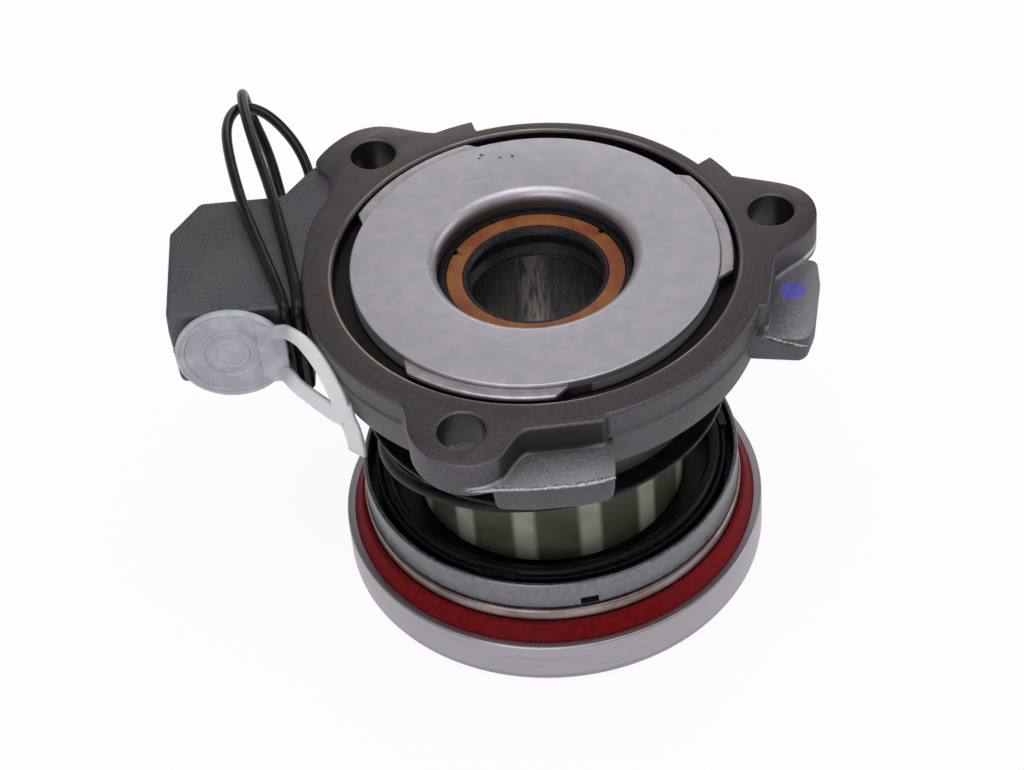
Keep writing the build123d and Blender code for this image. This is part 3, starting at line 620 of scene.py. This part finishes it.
stain = 0.0
for x, y, size in (
    (-7.9, 29.2, 1.0), (-4.6, 28.2, 0.7), (-2.3, 28.1, 0.8), (-19.0, 0.8, 0.5), (-1.3, 33.9, 0.6), (-8.4, 28.4, 0.6),
):
    ragged = product(tree, noise(tree, spot, 1.9, 3.0, 0.7), size * 1.6)
    ragged = maths(tree, "ADD", distance(tree, spot, (x, y, 70.3)), ragged)
    stain = maths(tree, "MAXIMUM", between(tree, ragged, size * 1.35, size * 0.95), stain)
colour = mixed(tree, stain, colour, srgb(58, 52, 58))
# The neck's inner wall is painted darker: painted shade.
neck = between(tree, height, 68.9, 67.6)
colour = mixed(tree, product(tree, neck, 0.9), colour, srgb(84, 80, 84))
# Down in the bore the tube is painted darker, as painted shade with a lengthwise grain.
deep = between(tree, height, 60.5, 59.5)
lengthwise_grain = noise(tree, stretched(tree, spot, (1.0, 1.0, 0.12)), 1.6)
bore_shade_colour = mixed(tree, between(tree, lengthwise_grain, 0.35, 0.65), srgb(116, 114, 114), srgb(142, 139, 138))
colour = mixed(tree, deep, colour, bore_shade_colour)
# A painted reflection: a bright streak down the far wall of the bore.
bore_reflection = between(tree, away_from(tree, place["Angle"], 92.0), 16.0, 2.0)
bore_reflection = product(tree, bore_reflection, deep, between(tree, lengthwise_grain, 0.3, 0.6))
colour = mixed(tree, bore_reflection, colour, srgb(226, 214, 208))
rough = maths(tree, "SUBTRACT", between(tree, fine, 0.3, 0.7, 0.4, 0.52), product(tree, deep, 0.2))
feed(
    tree, shader, Base_Color=colour, Metallic=0.9, Roughness=rough,
    Normal=relief(tree, maths(tree, "ADD", mottle, product(tree, fine, 0.08)), 0.1, 0.0002),
)
finish(guide_sleeve, zinc)
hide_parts("guide_sleeve")
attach(guide_sleeve, "housing_group")


# Shaft seal: a black pressed case, rubber moulded in it with two lips, and the orange
# low-friction ring with three notches that the first lip lies against. It is pressed into the neck.
seal_case = turned(
    "seal_case_pressed",
    [
        (17.64, 61.1, 0.3), (17.64, 66.4, 0.45), (16.15, 66.4, 0.15), (16.15, 65.65, 0), (16.91, 65.65, 0),
        (16.91, 61.85, 0), (14.66, 61.85, 0), (14.66, 61.1, 0.1),
    ],
    segments=192,
)
seal_lip = turned(
    "seal_lips",
    [
        (16.91, 61.85, 0), (16.91, 65.2, 0), (13.04, 65.2, 0), (13.04, 66.0, 0.1), (12.5, 66.0, 0.15),
        (11.95, 65.3, 0.15), (12.3, 64.4, 0.3), (13.5, 63.5, 0.5), (13.5, 61.4, 0.4), (12.3, 60.3, 0.2),
        (11.95, 59.7, 0.12), (12.3, 59.2, 0.15), (13.6, 59.2, 0.2), (13.6, 60.7, 0.2), (14.66, 61.1, 0),
        (14.66, 61.85, 0),
    ],
    segments=192,
)
seal_ring = turned(
    "seal_ring_notched", [(13.14, 65.2, 0), (16.03, 65.2, 0), (16.03, 66.2, 0.15), (13.14, 66.2, 0.2)], segments=360
)
notch_angles, notch_reach, notch_edge, notch_floor = (152.5, 37.4, -86.4), 2.1, 0.0157, 0.0154
for vertex in seal_ring.data.vertices:
    angle = math.degrees(math.atan2(vertex.co.y, vertex.co.x))
    radius = math.hypot(vertex.co.x, vertex.co.y)
    notched = any(abs((angle - notch + 180) % 360 - 180) < notch_reach for notch in notch_angles)
    if radius > notch_edge and notched:
        vertex.co.x *= notch_floor / radius
        vertex.co.y *= notch_floor / radius

rubber, tree, shader, place = new_material("black_rubber")
dust = noise(tree, place["Vector"], 1.3, 4.0, 0.6)
feed(
    tree, shader, Base_Color=mixed(tree, between(tree, dust, 0.45, 0.75), srgb(26, 25, 29), srgb(44, 43, 48)),
    Roughness=between(tree, dust, 0.3, 0.7, 0.3, 0.44), Specular_IOR_Level=0.22,
    Normal=relief(tree, noise(tree, place["Vector"], 6.0, 2.0), 0.15),
)

black_steel, tree, shader, place = new_material("black_steel")
dust = noise(tree, place["Vector"], 1.0, 4.0, 0.6)
feed(
    tree, shader, Base_Color=mixed(tree, between(tree, dust, 0.4, 0.7), srgb(10, 9, 10), srgb(24, 22, 24)),
    Roughness=between(tree, dust, 0.3, 0.7, 0.34, 0.5), Specular_IOR_Level=0.2,
    Normal=relief(tree, noise(tree, place["Vector"], 4.0, 2.0), 0.15),
)

orange, tree, shader, place = new_material("orange_ring")
blotch = noise(tree, place["Vector"], 0.22, 3.0, 0.55)
specks = noise(tree, place["Vector"], 2.2, 4.0, 0.7)
colour = mixed(tree, between(tree, blotch, 0.35, 0.65), srgb(124, 64, 36), srgb(140, 88, 46))
colour = mixed(tree, between(tree, specks, 0.6, 0.72, 0.0, 0.7), colour, srgb(60, 26, 20))
feed(tree, shader, Base_Color=colour, Roughness=0.5, Specular_IOR_Level=0.3, Normal=relief(tree, specks, 0.2))

steel, tree, shader, place = new_material("bright_steel")
lines = lathe_lines(tree, 9.0)
colour = mixed(tree, between(tree, lines, 0.3, 0.7), srgb(156, 150, 158), srgb(184, 178, 186))
up = along(tree, add(tree, "NewGeometry").outputs["True Normal"], "Z")
# The up-facing face of the outer ring gets its own plain, lighter tone: painted light on the top.
top = product(tree, between(tree, up, 0.7, 0.9), between(tree, place["Radius"], 38.2, 38.3))
colour = mixed(tree, top, colour, srgb(178, 172, 178))
# Below 2.6 mm the ring is painted darker: painted shade at its foot, by the table.
colour = mixed(tree, between(tree, place["Height"], 2.6, 2.2, 0.0, 0.5), colour, srgb(130, 126, 132))
feed(
    tree, shader, Base_Color=colour, Metallic=1.0, Roughness=between(tree, lines, 0.3, 0.7, 0.28, 0.42),
    Normal=relief(tree, lines, 0.08, 0.00005),
)

for piece, node, chosen, slot in (
    (seal_case, "seal_case", black_steel, "black_steel"),
    (seal_lip, "seal_lip", rubber, "dark_rubber"),
    (seal_ring, "seal_ring", orange, "orange_ring"),
):
    finish(piece, chosen)
    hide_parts(node)
    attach(piece, "housing_group")
for node in ("sleeve_o_ring", "port_seal", "piston_seal"):
    finish(bpy.data.objects[node], rubber)
for node in ("garter_spring", "balls"):
    finish(bpy.data.objects[node], steel)


# Spring and its seat: the wire is wound on a mandrel, with turns that lie closed below and one
# steep rise of a quarter turn at the left. The pressed seat under the casting centres it.
spring_seat = turned(
    "spring_seat_pressed",
    [
        (28.32, 40.5, 0), (28.32, 41.5, 0.2), (33.8, 41.5, 0.35), (33.8, 40.5, 0.35), (29.8, 40.5, 0.4),
        (29.3, 36.0, 0.3), (28.32, 36.0, 0.3),
    ],
    segments=192,
)
finish(spring_seat, black_steel)
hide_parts("spring_seat")
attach(spring_seat, "housing_group")

spring_low, spring_high, spring_radius, wire = 18.4, 39.3, 31.15, 1.2
turns, turn_rise, steep_start, steep_reach, softening = 2.8, 2.5, 1.68, 0.26, 9
pieces_of_wire = int(turns * 96)
wound = []
for k in range(pieces_of_wire + 1):
    turn = turns * k / pieces_of_wire
    closed = spring_low + turn_rise * min(turn, steep_start)
    z = closed + (spring_high - closed) * min(1.0, max(0.0, (turn - steep_start) / steep_reach))
    wound.append(Vector((*ring_point(spring_radius, -90 + 360 * turn), z)))
softened = []
for k, point in enumerate(wound):
    near = wound[max(0, k - softening):k + softening + 1]
    z = sum(p.z for p in near) / len(near) if softening <= k < len(wound) - softening else point.z
    softened.append(Vector((point.x, point.y, z)))


def tube(name, line, radius, sides=14, closed=False):
    """A round bar along a line of points, in millimetres."""
    points = []
    count = len(line)
    side = None
    for k in range(count):
        if closed:
            heading = (line[(k + 1) % count] - line[k - 1]).normalized()
        else:
            heading = (line[min(k + 1, count - 1)] - line[max(k - 1, 0)]).normalized()
        if side is None:
            side = heading.orthogonal().normalized()
        side = (side - heading * side.dot(heading)).normalized()
        other = heading.cross(side)
        for i in range(sides):
            a = 2 * math.pi * i / sides
            points.append(tuple(line[k] + (side * math.cos(a) + other * math.sin(a)) * radius))
    return mesh_piece(name, points, skin_faces(count, sides, closed), 40)


preload_spring = tube("preload_spring_wire", softened, wire)
finish(preload_spring, black_steel)
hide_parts("preload_spring")
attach(preload_spring, "housing_group")
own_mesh(preload_spring)


# Piston: injection-moulded nylon, greenish, a little translucent where no rib stands behind
# the wall. It slides in the casting on the guide sleeve.
piston = bpy.data.objects["piston"]
rib_spacing, rib_angle = 360 / 13, 76.4
nylon, tree, shader, place = new_material("nylon")
turn = maths(tree, "ADD", place["Angle"], rib_angle + rib_spacing * 20.5)
turn = maths(tree, "SUBTRACT", maths(tree, "MODULO", turn, rib_spacing), rib_spacing / 2)
band = between(tree, maths(tree, "ABSOLUTE", turn), 6.0, 3.0)
cloud = noise(tree, place["Vector"], 0.16)
colour = mixed(tree, band, srgb(76, 78, 66), srgb(168, 171, 154))
colour = mixed(tree, between(tree, cloud, 0.4, 0.7, 0.0, 0.35), colour, srgb(110, 112, 92))
feed(
    tree, shader, Base_Color=colour, Roughness=0.35,
    Subsurface_Weight=0.25, Subsurface_Radius=(0.002, 0.002, 0.0015), Subsurface_Scale=1.0,
    Normal=relief(tree, noise(tree, place["Vector"], 2.0), 0.15),
)
finish(piston, nylon)


# Carriage: a black pressed cup for the spring, held by a spring-steel clip with three hooks in a
# zinc-plated sleeve. The sleeve has windows at its foot, and its tube is rolled over the inner ring.
spring_cup = turned(
    "spring_cup_pressed",
    [
        (23.0, 16.42, 0.3), (23.0, 17.2, 0.3), (32.5, 17.2, 0.5), (32.5, 21.5, 0.3), (33.3, 21.5, 0.3),
        (33.3, 16.42, 1.2),
    ],
    segments=240,
)
sleeve_cup = turned(
    "bearing_sleeve_drawn",
    [
        (28.5, 2.9, 0), (28.5, 16.4, 0.6), (34.7, 16.4, 0.5), (34.7, 22.1, 0.38), (35.6, 22.1, 0.42), (35.6, 15.5, 1.0),
        (29.4, 15.5, 0.1), (29.4, 3.8, 0.2), (31.0, 3.8, 0.2), (31.0, 2.9, 0.4),
    ],
    segments=300,
)
window = [(33.6, -1.7), (37.6, -1.7), (37.6, 1.7), (33.6, 1.7)]
windows = [
    slab("window", turned_outline(window, -82.6 + 120 * index), [(16.3, 0), (18.0, 0)]) for index in range(3)
]
combine(sleeve_cup, windows, "DIFFERENCE")
smooth(sleeve_cup, 34)
zinc_bright, tree, shader, place = new_material("zinc_sleeve")
mottle = noise(tree, place["Vector"], 0.9, 4.0, 0.6)
lines = lathe_lines(tree, 4.0)
colour = mixed(tree, between(tree, mottle, 0.35, 0.65), srgb(116, 117, 123), srgb(132, 133, 139))
colour = mixed(tree, between(tree, lines, 0.5, 0.7, 0.0, 0.35), colour, srgb(92, 92, 97))
feed(
    tree, shader, Base_Color=colour, Metallic=0.95, Roughness=between(tree, mottle, 0.3, 0.7, 0.26, 0.42),
    Normal=relief(tree, mottle, 0.1, 0.0002),
)
finish(spring_cup, black_steel)
finish(sleeve_cup, zinc_bright)
for piece, node, slot in ((spring_cup, "spring_cup", "black_steel"), (sleeve_cup, "bearing_sleeve", "zinc_steel")):
    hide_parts(node)
    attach(piece, "carriage")
clip_steel, tree, shader, place = new_material("blued_steel")
film = noise(tree, place["Vector"], 0.8)
feed(
    tree, shader, Base_Color=mixed(tree, between(tree, film, 0.35, 0.65), srgb(34, 33, 36), srgb(52, 50, 53)),
    Metallic=0.7, Roughness=between(tree, film, 0.3, 0.7, 0.3, 0.42),
)
finish(bpy.data.objects["retaining_clip"], clip_steel)


# Ball bearing: ground rings of bearing steel with a row of balls in a pressed cage. The outer
# ring turns with the clutch, and the lip of the red moulded seal runs on the inner ring's land.
inner_ring = turned(
    "inner_ring_ground",
    [
        (29.42, 3.8, 0.2), (31.0, 3.8, 0.2), (31.0, 7.0, 0.2), (33.2, 9.0, 2.0), (36.0, 11.2, 0.3), (36.0, 15.5, 0.45),
        (29.42, 15.5, 0.3),
    ],
    segments=240,
)
outer_ring = turned(
    "outer_ring_ground",
    [
        (26.5, 0, 0.5), (40.0, 0, 2.2), (40.0, 9.8, 0.4), (38.4, 9.8, 0.15), (38.4, 7.5, 0.3), (37.4, 4.2, 2.2),
        (33.5, 3.0, 0.4), (32.8, 2.4, 0.2), (26.5, 2.4, 0.4),
    ],
    segments=300,
)
red_seal = turned(
    "bearing_seal_moulded",
    [
        (38.38, 9.0, 0.1), (38.38, 9.95, 0.25), (36.9, 12.85, 0.6), (36.12, 13.2, 0.15), (36.08, 12.5, 0.1),
        (36.6, 12.1, 0.3), (37.9, 9.7, 0.2), (37.9, 9.0, 0),
    ],
    segments=240,
)
red, tree, shader, place = new_material("red_rubber")
dust = noise(tree, place["Vector"], 0.9, 4.0, 0.65)
colour = mixed(tree, between(tree, dust, 0.35, 0.7), srgb(98, 7, 10), srgb(120, 14, 20))
# The seal is painted lighter towards its right side: painted light.
lit_right_side = between(tree, along(tree, place["Vector"], "X"), 10.0, 34.0, 0.0, 0.55)
feed(
    tree, shader, Base_Color=mixed(tree, lit_right_side, colour, srgb(130, 26, 34)),
    Roughness=between(tree, dust, 0.3, 0.7, 0.45, 0.6), Specular_IOR_Level=0.08, Normal=relief(tree, dust, 0.2),
)
polished, tree, shader, place = new_material("ground_land")
lines = lathe_lines(tree, 14.0)
warm = noise(tree, place["Vector"], 0.12, 3.0, 0.6)
colour = mixed(tree, between(tree, lines, 0.3, 0.7), srgb(140, 128, 128), srgb(172, 158, 158))
colour = mixed(tree, between(tree, warm, 0.4, 0.65, 0.0, 0.7), colour, srgb(120, 98, 90))
feed(
    tree, shader, Base_Color=colour, Metallic=1.0, Roughness=between(tree, lines, 0.3, 0.7, 0.2, 0.34),
    Normal=relief(tree, lines, 0.08, 0.00005),
)
for piece, node, body, chosen, slot in (
    (inner_ring, "inner_ring", "carriage", polished, "bearing_steel"),
    (outer_ring, "outer_ring", "outer_race", steel, "bearing_steel"),
    (red_seal, "bearing_seal", "outer_race", red, "red_rubber"),
):
    finish(piece, chosen)
    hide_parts(node)
    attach(piece, body)
finish(bpy.data.objects["ball_cage"], steel)


# Transport cap: one moulding in milky soft plastic that closes the port, with a strap of two
# arms that meet and run on under the flange. It is pushed into the port by its plug.
plastic, tree, shader, place = new_material("cap_plastic")
cloud = noise(tree, place["Vector"], 0.3)
colour = mixed(tree, between(tree, cloud, 0.35, 0.7), srgb(166, 168, 177), srgb(186, 188, 196))
forward = along(tree, place["Vector"], "Y")
# The strap, forward of the cap, is painted brighter: painted light through the thin plastic.
colour = mixed(tree, between(tree, forward, -9.2, -13.0, 0.0, 0.9), colour, srgb(228, 229, 234))
# The back of the cap's rim, against the block, is painted darker: painted shade.
colour = mixed(tree, between(tree, forward, -8.2, -7.4, 0.0, 0.5), colour, srgb(120, 121, 130))
feed(
    tree, shader, Base_Color=colour, Roughness=0.38,
    Subsurface_Weight=0.35, Subsurface_Radius=(0.003, 0.003, 0.0035), Subsurface_Scale=1.0,
    Normal=relief(tree, cloud, 0.15, 0.0002),
)


def lathe_across(name, corners, shift=0.0):
    """A piece turned around the port's axis, from (radius, forwards, rounding) corners."""
    made = turned(name, corners, 128)
    turn = Matrix.Rotation(math.radians(90), 4, "X")
    centre = Matrix.Translation(((port_x + shift) * MM, port_front * MM, (port_z + shift / 4) * MM))
    made.data.transform(centre @ turn)
    return made


def ribbon(name, line, widths, faces_start, faces_end, wall=1.1, sides=20):
    """A moulded strap along a line, with rounded edges. Its flat side turns from one direction to another."""
    points = []
    count = len(line)
    ring = []
    for i in range(sides):
        a = 2 * math.pi * i / sides
        c, d = math.cos(a), math.sin(a)
        ring.append((math.copysign(abs(c) ** 0.5, c), math.copysign(abs(d) ** 0.35, d)))
    for k in range(count):
        heading = (line[min(k + 1, count - 1)] - line[max(k - 1, 0)]).normalized()
        out = Vector(faces_start).lerp(Vector(faces_end), k / (count - 1)).normalized()
        out = (out - heading * out.dot(heading)).normalized()
        flat = heading.cross(out)
        width = widths[0] + (widths[1] - widths[0]) * k / (count - 1)
        for c, d in ring:
            points.append(tuple(line[k] + out * c * wall / 2 + flat * d * width / 2))
    return mesh_piece(name, points, skin_faces(count, sides), 50)


cap = lathe_across(
    "cap_moulded",
    [
        (0.0, 2.0, 0), (9.4, 2.0, 0), (10.05, 2.35, 0.3), (10.05, 3.3, 0.3), (9.6, 3.55, 0.2), (9.2, 3.25, 0.15),
        (8.9, 3.25, 0.15), (8.6, 3.4, 0.15), (8.3, 3.0, 0.2), (5.5, 2.95, 0.15), (5.1, 3.45, 0.15), (4.7, 2.95, 0.15),
        (3.4, 2.95, 0.15), (3.0, 3.4, 0.15), (2.6, 2.95, 0.15), (0.0, 3.0, 0),
    ],
    shift=0.6,
)
plug = lathe_across("plug", [(4.5, 2.9, 0), (5.5, 2.9, 0), (5.5, -5.2, 0.3), (5.1, -6.0, 0.3), (4.5, -6.0, 0.2)])
tab_front, tab_edge = -9.0, -45.2
tab_outline = rounded([
    (-50.2, 68.0, 0), (-46.4, 66.2, 1.2), (tab_edge, 63.4, 1.5), (tab_edge, 57.4, 1.5), (-46.4, 54.4, 1.2),
    (-50.2, 53.6, 0),
])
points = []
for y, drawn_in in ((tab_front, 0.12), (tab_front + 0.15, 0.0), (tab_front + 0.85, 0.0), (tab_front + 1.0, 0.12)):
    points += [(x, y, z) for x, z in inset(tab_outline[::-1], drawn_in)]
tab = mesh_piece("tab", points, skin_faces(4, len(tab_outline)))
meeting = (-35.7, -22.6, 57.5)
at_cap, at_meeting, at_tail = (-0.1, -1.0, 0.3), (-0.55, -0.9, 0.35), (-0.4, -1.0, 0.2)
upper_arm = ribbon("upper_arm", flowing([
    (-48.2, -8.5, 65.0), (-46.0, -8.9, 65.6), (-44.4, -9.8, 66.0), (-41.6, -13.8, 66.9), (-38.9, -18.0, 65.6),
    (-36.7, -21.6, 62.2), meeting, (-35.0, -22.0, 54.0),
], 10), (2.5, 3.3), at_cap, at_meeting)
lower_arm = ribbon("lower_arm", flowing([
    (-48.4, -8.6, 55.4), (-46.2, -9.2, 55.6), (-43.9, -12.6, 55.4), (-40.9, -17.0, 56.2), (-38.2, -20.4, 56.6),
    (-35.7, -22.3, 56.2),
], 10), (3.0, 3.6), at_cap, (-0.55, -0.9, 0.3))
tail = ribbon("tail", flowing([
    (-36.0, -22.2, 59.5), (-35.5, -22.4, 56.0), (-34.9, -21.4, 52.5), (-34.9, -17.0, 45.0), (-35.2, -12.5, 38.5),
    (-35.4, -10.5, 35.6),
], 10), (4.2, 3.7), at_meeting, at_tail)
nub_outline = rounded([(-65.7, -6.5, 0.2), (-64.6, -6.5, 0), (-64.6, -5.5, 0), (-65.7, -5.5, 0.2)])
nub = slab("nub", nub_outline, [(60.3, 0.1), (60.5, 0), (61.1, 0), (61.3, 0.1)])
combine(cap, [plug, tab, upper_arm, lower_arm, tail, nub], "UNION")
smooth(cap, 50)
finish(cap, plastic)
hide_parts("transport_cap")
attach(cap, "housing_group")


# Loose sealing ring of the flange: a moulded rubber cord ring, slipped over the block twice for
# transport, so that it makes two turns of different size. Its line is one smooth closed curve.
outer_strand, inner_strand, front, top, bottom = -44.65, -42.45, -6.75, 69.2, 49.5
route = [
    (outer_strand, front, 59.3), (outer_strand, front, 65.4), (outer_strand - 0.05, front - 0.3, 69.0),
    (outer_strand - 0.8, front + 3.8, top + 0.1), (-48.5, 8.0, top), (-52.6, 22.4, top), (-55.8, 40.0, 69.6),
    (-55.9, 49.5, 68.3), (-53.6, 56.6, 65.9), (-47.9, 54.4, 64.4), (-42.0, 47.3, 59.5), (-40.6, 39.5, 52.6),
    (-41.8, 27.6, bottom), (inner_strand, 10.0, bottom), (inner_strand, front + 3.6, bottom - 0.1),
    (inner_strand, front - 0.3, bottom + 0.2), (inner_strand, front, bottom + 3.8), (inner_strand, front, 59.3),
    (inner_strand, front, 65.4), (inner_strand, front - 0.3, 69.0), (inner_strand - 0.1, front + 3.8, top + 0.1),
    (-43.35, 3.0, top), (-46.7, 22.9, top + 0.1), (-50.8, 40.5, 69.7), (-53.0, 53.0, 68.9), (-53.6, 61.3, 65.8),
    (-53.0, 62.4, 59.6), (-49.3, 51.4, 57.8), (-47.2, 41.0, 55.2), (-44.7, 27.6, bottom), (outer_strand, 10.0, bottom),
    (outer_strand, front + 3.6, bottom - 0.1), (outer_strand, front - 0.3, bottom + 0.2),
    (outer_strand, front, bottom + 3.8),
]
curve = bpy.data.curves.new("flange_o_ring_line", "CURVE")
curve.dimensions = "3D"
strand = curve.splines.new("NURBS")
strand.points.add(len(route) - 1)
for point, place_mm in zip(strand.points, route):
    point.co = (*(c * MM for c in place_mm), 1)
strand.order_u = 3
strand.use_cyclic_u = True
curve.resolution_u = 12
guide = bpy.data.objects.new("guide", curve)
scene.collection.objects.link(guide)
bpy.context.view_layer.update()
line_mesh = bpy.data.meshes.new_from_object(guide.evaluated_get(bpy.context.evaluated_depsgraph_get()))
line = [v.co / MM for v in line_mesh.vertices]
bpy.data.objects.remove(guide)
bpy.data.meshes.remove(line_mesh)
flange_ring = tube("flange_o_ring_moulded", line, 1.0, sides=18, closed=True)
ring_rubber, tree, shader, place = new_material("oiled_rubber")
dust = noise(tree, place["Vector"], 0.25)
feed(
    tree, shader, Base_Color=mixed(tree, between(tree, dust, 0.4, 0.7), srgb(12, 11, 14), srgb(22, 21, 26)),
    Roughness=between(tree, dust, 0.3, 0.7, 0.26, 0.36), Specular_IOR_Level=0.25,
)
finish(flange_ring, ring_rubber)
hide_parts("flange_o_ring")
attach(flange_ring, "housing_group")
